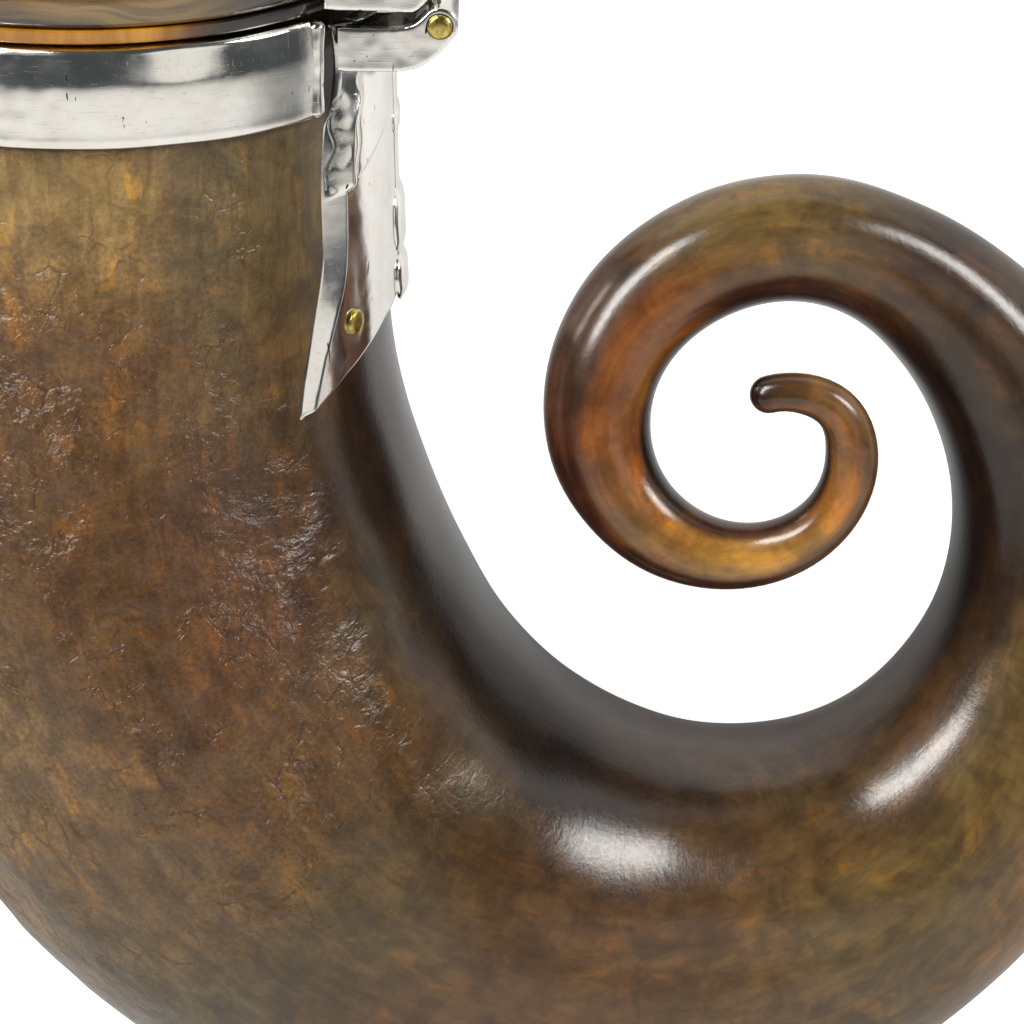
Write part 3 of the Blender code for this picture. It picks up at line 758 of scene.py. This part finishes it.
def make_horn(mat):
    """The horn as one closed skin: chamber, lip, outside and rounded tip."""
    fine = np.linspace(FIRST_TURN, LAST_TURN, 4000)
    points, radii = horn_at(fine)
    along = np.concatenate([[0.0], np.cumsum(np.linalg.norm(np.diff(points, axis=0), axis=1))])
    spacing = np.interp(radii, [2.0, 10.0, 25.0], [0.75, 0.52, 0.5])
    need = np.concatenate([[0.0], np.cumsum(np.diff(along) / spacing[1:])])
    turns = np.interp(np.linspace(0, need[-1], int(need[-1])), need, fine)
    places = np.interp(turns, fine, along)
    columns = 184
    even = np.linspace(0, 2 * math.pi, columns, endpoint=False)
    around = even + 0.3 * np.cos(even)
    middles, radii = horn_at(turns)
    ways, tangents = ring_ways(middles, around)
    # Rounded end past the last ring, at these degrees of a quarter circle.
    rise = np.radians([14, 28, 42, 55, 67, 78, 85])
    end = radii[-1]
    middles = np.vstack([middles, middles[-1] + tangents[-1] * end * np.sin(rise)[:, None]])
    radii = np.append(radii, end * np.cos(rise))
    places = np.append(places, places[-1] + end * np.sin(rise))
    ways = np.concatenate([ways, np.repeat(ways[-1:], len(rise), axis=0)])

    count = len(middles)
    skin = middles[:, None, :] + radii[:, None, None] * ways
    flat = skin.reshape(-1, 3)
    s_all = np.repeat(places, columns)
    a_all = np.tile(around, count)
    r_all = np.repeat(radii, columns)
    inward = np.cos(a_all)

    # How worn and flaky the skin is, and its height: swelling, growth waves, flakes and crinkles.
    wear = fade(s_all, 92, 62) * fade(inward, -0.86, -0.3) * (0.45 + 0.55 * fade(s_all, 8, 30))
    wear = np.clip(wear * (0.75 + 0.35 * layered(flat, 16, 2, 40)), 0.0, 1.0)
    free = fade(s_all, 8, 16)
    plate_zone = fade(flat[:, 1], 3, 9) * fade(inward, -0.55, -0.72)
    free = free * (1 - plate_zone)
    swell = 0.34 * layered(flat, 22, 2, 3) * fade(s_all, 190, 130) * free
    swell += 0.10 * grain(flat, 9, 4) * fade(s_all, 276, 240) * fade(r_all, 1.5, 5) * free
    waves = 0.06 * np.sin(s_all * 2 * math.pi / 10.5 + 2.0 * grain(flat, 18, 8)) * wear * free
    scaly = 0.35 + 0.65 * fade(s_all, 14, 26)
    flakes = terraces(3.0 * layered(flat, 6.0, 4, 21, 0.55), 3.0) * 0.085 * wear * free * scaly
    crinkle = 0.06 * layered(flat, 1.7, 2, 33) * wear * free
    height = swell + waves + flakes + crinkle
    flat = flat + ways.reshape(-1, 3) * height[:, None]

    flow = np.stack([s_all, 0.8 * r_all * inward, 0.8 * r_all * np.sin(a_all)], axis=1)
    colours = horn_colours(flat, s_all, a_all)

    # Chamber from the mouth inwards.
    inner_rings = 30
    inner_mid, inner_rad = horn_at(np.linspace(FIRST_TURN, CHAMBER_END_DEG, inner_rings))
    share = np.linspace(0.0, 1.0, inner_rings) ** 1.5
    mouth_share = 1.0 - MOUTH_WALL / inner_rad[0]
    inner_rad = inner_rad * (mouth_share + (CHAMBER_END_SHARE - mouth_share) * share)
    inner_rad[-1] *= 0.6
    inner = inner_mid[:, None, :] + inner_rad[:, None, None] * ring_ways(inner_mid, around)[0]
    inner = inner[::-1]
    points, faces = loft(np.concatenate([inner, flat.reshape(count, columns, 3)], axis=0))
    inner = inner.reshape(-1, 3)
    dull = np.tile(np.array(UMBER) * 0.6, (len(inner), 1))
    tint = np.vstack([dull, colours, dull[:1], np.array(MAROON)[None, :]])
    tint = np.hstack([tint, np.ones((len(tint), 1))])
    flow = np.vstack([inner, flow, inner[:1], flow[-1:]])
    wear = np.concatenate([np.zeros(len(inner)), wear, [0.0, 0.0]])
    attributes = {"tint": tint, "flow": flow, "wear": wear}
    mesh_object("horn_skin", points, faces, mat, "horn", "horn_body", attributes, 60)


# --- silver on the horn


def make_collar(silver):
    """Band round the mouth, folded in at the top and slightly barrelled, and the bead at each end of it."""
    profile = [
        (22.3, 40.1), (22.35, 40.5), (23.0, 40.62), (24.3, 40.65), (24.75, 40.6), (24.95, 40.35),
        (25.02, 39.9), (25.12, 39.1), (25.26, 38.1), (25.31, 37.5), (25.29, 36.6), (25.22, 35.0),
        (25.14, 33.5), (25.14, 32.8), (25.0, 32.35), (24.6, 32.3), (24.1, 32.4), (24.05, 36.0),
        (24.05, 40.0),
    ]

    def hammered(radius, height, turn):
        where = on_axis(radius, height, turn)
        outer = (radius > 24.8).reshape(-1)
        dent = 0.03 * layered(where, 6.0, 2, 51) + 0.05 * np.minimum(grain(where, 9, 52) + 0.25, 0)
        dent += 0.04 * fade(np.degrees(turn).ravel(), 88, 100) * grain(where, 1.6, 54)
        edge = 0.07 * grain(np.outer(turn.ravel() * 25.0, (1, 0, 0)), 7, 53)
        return radius + (dent * outer).reshape(radius.shape), height + edge.reshape(radius.shape)

    points, faces = spun(rounded_profile(profile, 0.3), BAND_DEG, 360.0 - BAND_DEG, 420, hammered)
    mesh_object("silver_collar", points, faces, silver, "horn", "mouth_collar", sharp=50)

    ring = np.linspace(0, 2 * math.pi, 40, endpoint=False)
    for side, name, node in (
        (1, "collar_bead_front", "collar_end_bead_front"),
        (-1, "collar_bead_rear", "collar_end_bead_rear"),
    ):
        rings = []
        for y in np.linspace(40.55, 32.35, 90):
            end = min(1.0, (40.6 - y) / 0.5, (y - 32.3) / 0.5) ** 0.5
            spot = np.array([[y, 0.0, side * 3.0]])
            angle = math.radians(BEAD_DEG) + 0.24 * grain(spot, 3.4, 61)[0] / 25.0
            size = BEAD_RADIUS * end * (1.0 + 0.14 * grain(spot, 2.4, 62)[0])
            across = np.array((-math.sin(angle), 0.0, side * math.cos(angle)))
            out = np.array((math.cos(angle), 0.0, side * math.sin(angle)))
            middle = np.array([MOUTH_X, y, MOUTH_Z]) + out * 24.95
            rings.append([middle + size * (math.cos(t) * across + 0.9 * math.sin(t) * out) for t in ring])
        points, faces = loft(rings)
        points = points + 0.07 * layered(points, 2.4, 2, 63)[:, None] * np.array([0.7, 0.0, 0.7 * side])
        mesh_object(name, points, faces, silver, "horn", node, sharp=60)


def plate_bottom(z_off):
    """Height of the plate's lower edge: two pointed lobes with a shallow arch between."""
    off_middle = [0, 4.5, 7.5, 11.3, 14.5, 16.2, 17.6, 18.0]
    return np.interp(np.abs(z_off), off_middle, [12.8, 12.4, 11.8, 10.4, 9.0, 7.9, 6.9, 6.8])


def plate_half_width(y):
    """Half the plate's width at the height y: wide at the lobes, narrow beside the collar."""
    heights = [0.0, 6.8, 12.0, 15.5, 18.0, 23.0, 30.0, 31.2, 32.4, PLATE_TOP]
    return smooth_through(heights, [18.4, 17.8, 16.5, 15.5, 14.8, 14.4, 14.1, 13.8, 13.1, 13.0], y)


def make_plate(silver):
    """Hinge plate: bevelled edge, a wavy second layer on its upper part, and a lap line under it."""
    across = np.linspace(-1.0, 1.0, 220)
    across = np.sign(across) * (1.0 - (1.0 - np.abs(across)) ** 1.25)
    u, v = np.meshgrid(across, np.linspace(0.0, 1.0, 170))
    y = PLATE_TOP - v * (PLATE_TOP - plate_bottom(u * 18.0))
    width = plate_half_width(y)
    z = u * width
    side = np.abs(z)
    from_side = width - side
    from_bottom = y - plate_bottom(z * 18.0 / width)
    # The side wall: nearly upright at the lobe's point, a broader slope above it.
    slope_width = np.interp(y, [7.0, 12.0, 16.0, 22.0, 26.0], [0.45, 0.55, 1.0, 1.15, 1.2])
    slope = np.clip(from_side / slope_width, 0.0, 1.0)
    upper = fade(y, 24.9, 25.7)
    rise = np.interp(y, [7.0, 12.0, 17.0], [0.6, 0.9, 1.1])
    height = rise * slope * np.clip(from_bottom / 0.4, 0.0, 1.0) * np.clip((PLATE_TOP - y) / 0.3, 0.0, 1.0)
    # A rolled strip runs down the upper part, with a groove on each side, and ends round.
    ridge = np.interp(y, [24.8, 26, 28.5, 31, 33, 35.5, 39], [13.3, 13.15, 12.75, 12.5, 12.1, 11.9, 11.8])
    ridge = ridge + 0.12 * np.sin(y * 1.9)
    off = side - ridge
    roll_width = 0.75 * np.sqrt(np.clip((y - 24.9) / 0.9, 0.0, 1.0)) + 0.001
    roll = np.sqrt(np.clip(1.0 - (off / roll_width) ** 2, 0.0, 1.0))
    groove = np.exp(-(((off - 0.85) / 0.22) ** 2)) + 0.5 * np.exp(-(((off + 0.95) / 0.3) ** 2))
    height += upper * (0.40 * roll - 0.30 * groove * (from_side > 0.15))
    # The upper layer laps over the lower lobe.
    lap = y - (25.0 + 0.48 * (13.5 - side))
    height += 0.14 * (fade(lap, -0.12, 0.12) - 1.0) * slope * fade(side, 5.0, 8.0)
    where = np.stack([z, y, 0 * z], axis=2).reshape(-1, 3)
    worn = (0.02 * layered(where, 9.0, 2, 71) + 0.006 * layered(where, 1.6, 2, 72)).reshape(z.shape)
    height += worn * slope
    # Shallow dish round each pin.
    pin_z = (hinge_side_radius(PLATE_PIN_Y) + 1.0) * math.sin(math.radians(PLATE_PIN_DEG))
    pin_gap = np.hypot(side - pin_z, y - PLATE_PIN_Y)
    height -= 0.10 * np.exp(-((pin_gap / 1.3) ** 2))

    # Painted shade under the lug; tarnish in the groove, along the lap and round the pins; the hidden back is
    # dark.
    tarnish_and_shade = 0.8 * fade(np.hypot((side - 8.2) / 3.6, (y - 36.2) / 2.6), 1.05, 0.8)
    tarnish_and_shade = np.maximum(tarnish_and_shade, 0.8 * upper * np.exp(-(((off - 0.85) / 0.3) ** 2)))
    along_lap = fade(side, 13.6, 12.8) * fade(side, 5, 8)
    tarnish_and_shade = np.maximum(tarnish_and_shade, 0.6 * np.exp(-((lap + 0.1) / 0.16) ** 2) * along_lap)
    tarnish_and_shade = np.maximum(tarnish_and_shade, 0.7 * fade(pin_gap, 1.15, 0.95))
    tarnish_and_shade = np.concatenate([tarnish_and_shade.ravel(), np.full(tarnish_and_shade.size, 0.8)])

    base = hinge_side_radius(y)
    points, faces = sheet(width, u, y, base + 0.08 + height, base - 0.25)
    tarnish_and_shade = {"tarnish_and_shade": tarnish_and_shade}
    mesh_object("silver_hinge_plate", points, faces, silver, "horn", "hinge_plate", tarnish_and_shade, 70)


def tongue_half_width(y):
    """Straight sides with a small scallop, a large one and a pointed end."""
    width = 2.3 + 0.7 * np.sqrt(np.clip(1 - ((y - 27.7) / 1.0) ** 2, 0, 1))
    width = np.maximum(width, 2.3 + 1.5 * np.sqrt(np.clip(1 - ((y - 19.0) / 2.7) ** 2, 0, 1)))
    low = 1.9 + 1.6 * np.sqrt(np.clip(1 - ((y - 14.1) / 2.0) ** 2, 0, 1))
    return np.where(y < 16.2, low, width)


def make_tongue(silver):
    """Domed scalloped tongue down the middle of the plate."""
    across = np.sin(np.linspace(-math.pi / 2, math.pi / 2, 60))
    u, y = np.meshgrid(across, np.linspace(34.5, 11.95, 200))
    rise = np.maximum(fade(np.abs(y - 19.0), 3.2, 1.4), fade(np.abs(y - 14.1), 2.2, 0.9))
    rise = np.maximum(rise, 0.5 * fade(np.abs(y - 27.7), 1.4, 0.5))
    ends = fade(y, 11.9, 12.5) * fade(y, 34.5, 33.9)
    dome = np.clip(1.0 - np.abs(u) ** 3, 0.0, 1.0) ** 0.5
    base = hinge_side_radius(y)
    front = base + 1.15 + (0.22 + 0.42 * rise) * dome * ends
    points, faces = sheet(tongue_half_width(y), u, y, front, base + 1.0)
    mesh_object("silver_tongue", points, faces, silver, "horn", "hinge_plate_tongue", sharp=60)


def round_tool(name, radius, low, high):
    """A plain cylinder on the mouth's axis."""
    points, faces = disc([(0.0, high), (radius, high), (radius, low), (0.0, low)], 160)
    return solid(name, points, faces)


def arc(cx, cy, radius, start, end, steps):
    """Points of an arc from the start angle to the end angle, in degrees."""
    turns = np.radians(np.linspace(start, end, steps + 1))
    return [(cx + radius * math.cos(t), cy + radius * math.sin(t)) for t in turns]


def rod_tool(name, radius, x, y, low, high):
    """A round rod along Z."""
    outline = arc(0.0, 0.0, radius, 0, 352.5, 47)
    return prism(name, outline, high - low, (x, y, (low + high) / 2))


def make_lugs(silver):
    """Cast lugs: flat bar with a soft lower bevel, a scooped rise to the knuckle and a bored eye."""
    outline = [
        (-9.2, 36.25), (-6.0, 36.15), (-3.2, 36.15), (-1.9, 36.4), (-0.9, 36.95), (0.1, 37.75),
        *arc(0.0, PIN_Y, KNUCKLE_RADIUS, -32, 128, 16), (-1.5, 40.62), (-2.1, 40.12), (-3.0, 39.86),
        (-4.6, 39.8), (-9.2, 39.9),
    ]
    names = {1: ("hinge_lug_near", "hinge_lug_front"), -1: ("hinge_lug_far", "hinge_lug_rear")}
    for side, (name, node) in names.items():
        z = MOUTH_Z + side * (LUG_OUTER - LUG_LENGTH / 2)
        lug = prism(name, outline, LUG_LENGTH, (PIN_X, 0.0, z))
        combine(lug, round_tool("lug_round", LUG_HOLLOW, 30.0, 44.0))
        cast(lug, 0.11, 9, 0.035, 2.6, 91 + side)
        combine(lug, rod_tool("lug_bore", LUG_BORE, PIN_X, PIN_Y, z - 4.0, z + 4.0))
        finish_piece(lug, silver, "horn", node, 50)


def make_pins(brass):
    """Hinge pin with hammered ends, and the two plate pins."""
    ring = np.linspace(0, 2 * math.pi, 48, endpoint=False)
    reach = LUG_OUTER + 0.42
    stations = [(-reach, 0.35), (-reach + 0.04, 0.8), (-reach + 0.16, 0.99), (-reach + 0.34, PIN_RADIUS)]
    stations += [(z, PIN_RADIUS) for z in np.linspace(-reach + 0.8, reach - 0.8, 12)]
    stations += [(-z, r) for z, r in reversed(stations[:4])]
    rings = []
    for z, r in stations:
        rings.append([(PIN_X + r * math.cos(t), PIN_Y + r * math.sin(t), MOUTH_Z + z) for t in ring])
    points, faces = loft(rings)
    mesh_object("brass_hinge_pin", points, faces, brass, "horn", "hinge_pin", sharp=50)

    # Depth past the plate's face and radius, from the pin's foot in the horn to its domed head.
    stations = [(-3.2, 0.8), (-1.2, 0.84), (-0.35, 1.0), (-0.05, 1.02)]
    stations += [(0.07, 0.97), (0.13, 0.84), (0.15, 0.4)]
    surface = float(hinge_side_radius(PLATE_PIN_Y)) + 1.12
    base = np.array([MOUTH_X, PLATE_PIN_Y, MOUTH_Z])
    up = np.array([0.0, 1.0, 0.0])
    angle = math.radians(PLATE_PIN_DEG)
    for side, name, node in (
        (1, "brass_plate_pin_near", "plate_pin_front"),
        (-1, "brass_plate_pin_far", "plate_pin_rear"),
    ):
        out = np.array([math.cos(angle), 0.0, side * math.sin(angle)])
        side_way = np.array([-math.sin(angle), 0.0, side * math.cos(angle)])
        rings = []
        for depth, radius in stations:
            middle = base + out * (surface + depth)
            ways = [side_way * math.cos(t) + 1.06 * up * math.sin(t) for t in ring]
            rings.append([middle + radius * way for way in ways])
        points, faces = loft(rings)
        mesh_object(name, points, faces, brass, "horn", node, sharp=60)


# --- the lid


def make_lid(silver, rim_horn, amber):
    """Rim moulding, silver dome, amber plug, hinge leaf with its barrel, and thumbpiece."""
    rim_profile = [
        (21.5, 42.2), (23.8, 42.2), (24.25, 42.3), (24.6, 42.65), (24.85, 43.2), (25.02, 43.9),
        (25.1, 44.7), (25.0, 45.4), (24.8, 46.0), (24.6, 46.25), (24.5, 46.6), (24.2, 46.95),
        (23.6, 47.02), (21.5, 47.0),
    ]

    def worn(radius, height, turn):
        bump = 0.04 * layered(on_axis(radius, height, turn), 6, 2, 101) * (radius.ravel() > 23)
        return radius + bump.reshape(radius.shape), height

    points, faces = spun(rounded_profile(rim_profile, 0.25), 0, 360, 400, worn)
    mesh_object("horn_lid_rim", points, faces, rim_horn, "lid", "lid_rim", sharp=50)

    outer = [
        (0.0, 52.0), (5.0, 51.98), (9.0, 51.9), (13.0, 51.6), (17.5, 50.85), (20.2, 50.0),
        (21.0, 49.5), (21.6, 49.5), (22.4, 49.1), (23.3, 48.2), (23.9, 47.4), (24.0, 46.95),
    ]
    inner = [(22.6, 46.95), (21.8, 47.9), (16.8, 49.85), (9.0, 51.0), (0.0, 51.0)]
    points, faces = disc([*outer, *inner], 200)
    dome = solid("silver_lid_dome", points, faces)
    soft = dome.modifiers.new("soft", "SUBSURF")
    soft.levels = 1
    soft.render_levels = 1
    settle(dome)
    finish_piece(dome, silver, "lid", "lid_dome", 60)

    plug_outer = [
        (21.3, 47.0), (21.3, 42.1), (24.3, 42.14), (24.5, 42.0), (24.45, 41.4), (24.3, 41.0),
        (23.9, 40.9), (21.35, 40.95), (21.3, 40.3), (21.1, 37.2), (20.7, 36.6), (20.0, 36.4),
    ]
    points, faces = disc([(0.0, 47.0), *plug_outer, (0.0, 36.4)], 240)
    mesh_object("amber_plug", points, faces, amber, "lid", "lid_plug", sharp=35)

    leaf_outline = [
        (-9.4, 41.4), (-2.2, 41.15), (-1.75, 41.35), (-0.9, 42.2), (-0.75, 42.8), (-0.75, 45.7),
        (-1.4, 46.4), (-9.4, 46.4),
    ]
    leaf = prism("hinge_leaf", leaf_outline, 2 * LUG_OUTER, (PIN_X, 0.0, MOUTH_Z))
    inside = 2 * (LUG_OUTER - LUG_LENGTH - 0.2)
    barrel_outline = [
        *arc(0.0, PIN_Y, KNUCKLE_RADIUS, 185, 395, 20), (-0.8, 44.3), (-1.9, 44.3), (-1.9, 41.5),
    ]
    combine(leaf, prism("leaf_barrel", barrel_outline, inside, (PIN_X, 0.0, MOUTH_Z)), "UNION")
    combine(leaf, round_tool("leaf_round", LEAF_HOLLOW, 39.0, 49.0))
    cast(leaf, 0.15, 5, 0.03, 3.0, 111)
    combine(leaf, rod_tool("leaf_bore", LEAF_BORE, PIN_X, PIN_Y, -10.0, 60.0))
    finish_piece(leaf, silver, "lid", "lid_hinge_leaf", 50)

    thumb_outline = [
        *arc(0.0, 0.0, 3.5, 200, 340, 16), *arc(2.6, 1.5, 0.9, -10, 90, 8), (0.9, 2.2), (0.0, 1.9),
        (-0.9, 2.2), *arc(-2.6, 1.5, 0.9, 90, 190, 8),
    ]
    thumb = prism("thumbpiece", thumb_outline, 1.5, (MOUTH_X - 25.75, 44.65, MOUTH_Z), "x")
    cast(thumb, 0.1, 8, 0.02, 2.0, 121)
    finish_piece(thumb, silver, "lid", "lid_thumbpiece", 50)


# --- light, floor and camera


def make_stage():
    """Pale floor with a glowing pool inside the curl, studio world and two lamps."""
    mesh = bpy.data.meshes.new("floor")
    mesh.from_pydata([(-3, -3, 0), (3, -3, 0), (3, 3, 0), (-3, 3, 0)], [], [(0, 1, 2, 3)])
    floor = linked("floor", mesh)
    s = Shader("pale_floor")
    object_place = s.node("TexCoord").outputs["Object"]
    from_pool = s.vector("DISTANCE", object_place, place(-6.0, 4.0, 0.0), "Value")
    pool = s.between(from_pool, 0.021, 0.034, 0.55, 0.15)
    glow = s.math("MAXIMUM", pool, s.node("LightPath").outputs["Is Camera Ray"])
    s.set(Base_Color=(0.6, 0.6, 0.6), Roughness=0.9, Emission_Color=(1.0, 1.0, 1.0), Emission_Strength=glow)
    mesh.materials.append(s.mat)

    world = bpy.data.worlds.new("studio")
    bpy.context.scene.world = world
    world.use_nodes = True
    w = NodeTree(world.node_tree)
    way_out = w.node("TexCoord").outputs["Generated"]
    x, y = w.split(way_out)[:2]
    # Bright on the side away from the lid, dark above and towards the far right.
    bright = w.between(y, -0.40, -0.13, 0.88, 0.0)
    light = w.math("MULTIPLY_ADD", bright, w.between(x, 0.78, 0.96, 1.0, 0.2), 0.07)
    # Pale cards, one high on the left and one high on the right.
    for way, low, high, strength in (
        ((-0.50, 0.40, 0.77), 0.92, 0.96, 0.35),
        ((0.60, 0.10, 0.79), 0.945, 0.975, 0.85),
    ):
        toward = w.vector("DOT_PRODUCT", way_out, Vector(way).normalized(), "Value")
        light = w.math("MAXIMUM", light, w.between(toward, low, high, 0.0, strength))
    is_camera = w.node("LightPath").outputs["Is Camera Ray"]
    power = w.node("Mix", {"data_type": "FLOAT"}, i0=is_camera, i2=light, i3=0.95).outputs[0]
    # The dark side is slightly cool, the bright side and the background are warm white.
    colour = w.mix(w.between(power, 0.1, 0.4), (0.90, 0.98, 1.08), (1.0, 0.985, 0.96))
    back = w.tree.nodes["Background"]
    w.feed(back.inputs["Strength"], power)
    w.feed(back.inputs["Color"], colour)

    # Lamps: where they stand, which way their long side runs, distance and size in metres, watts.
    centre = place(*AIM)
    for name, way, long_side, distance, size, power in (
        ("key", (-0.53, 0.62, 0.55), (-0.44, -0.61, 0.27), 0.75, (0.58, 0.17), 6.4),
        ("side", (0.82, 0.49, 0.29), (-0.49, 0.82, 0.10), 0.75, (0.30, 0.17), 2.9),
    ):
        lamp = bpy.data.lights.new(name, "AREA")
        lamp.shape = "RECTANGLE"
        lamp.size, lamp.size_y = size
        lamp.energy = power
        lamp.color = (1.0, 0.98, 0.95)
        obj = linked(name, lamp)
        way = Vector(way).normalized()
        across = way.cross(Vector(long_side)).normalized()
        turn = Matrix((across.cross(way), across, way)).transposed()
        obj.location = centre + way * distance
        obj.rotation_euler = turn.to_euler()


def make_camera():
    """The photograph's viewpoint: above the object, leaning a little towards the lid's side."""
    data = bpy.data.cameras.new("camera")
    camera = linked("camera", data)
    data.sensor_width = 36.0
    data.lens = data.sensor_width * CAMERA_DISTANCE / VIEW_WIDTH
    tilt = math.radians(CAMERA_TILT_DEG)
    camera.location = place(*AIM) + Vector((0.0, math.sin(tilt), math.cos(tilt))) * CAMERA_DISTANCE * MM
    camera.rotation_euler = (-tilt, 0.0, 0.0)
    data.clip_start = 0.01
    data.clip_end = 20.0
    bpy.context.scene.camera = camera


make_camera()
make_stage()
bpy.context.scene.view_settings.view_transform = "Standard"

horn = horn_material()
silver = silver_material()
rim_horn = rim_material()
brass = brass_material()
amber = amber_material()

make_horn(horn)
make_collar(silver)
make_plate(silver)
make_tongue(silver)
make_lugs(silver)
make_pins(brass)
make_lid(silver, rim_horn, amber)
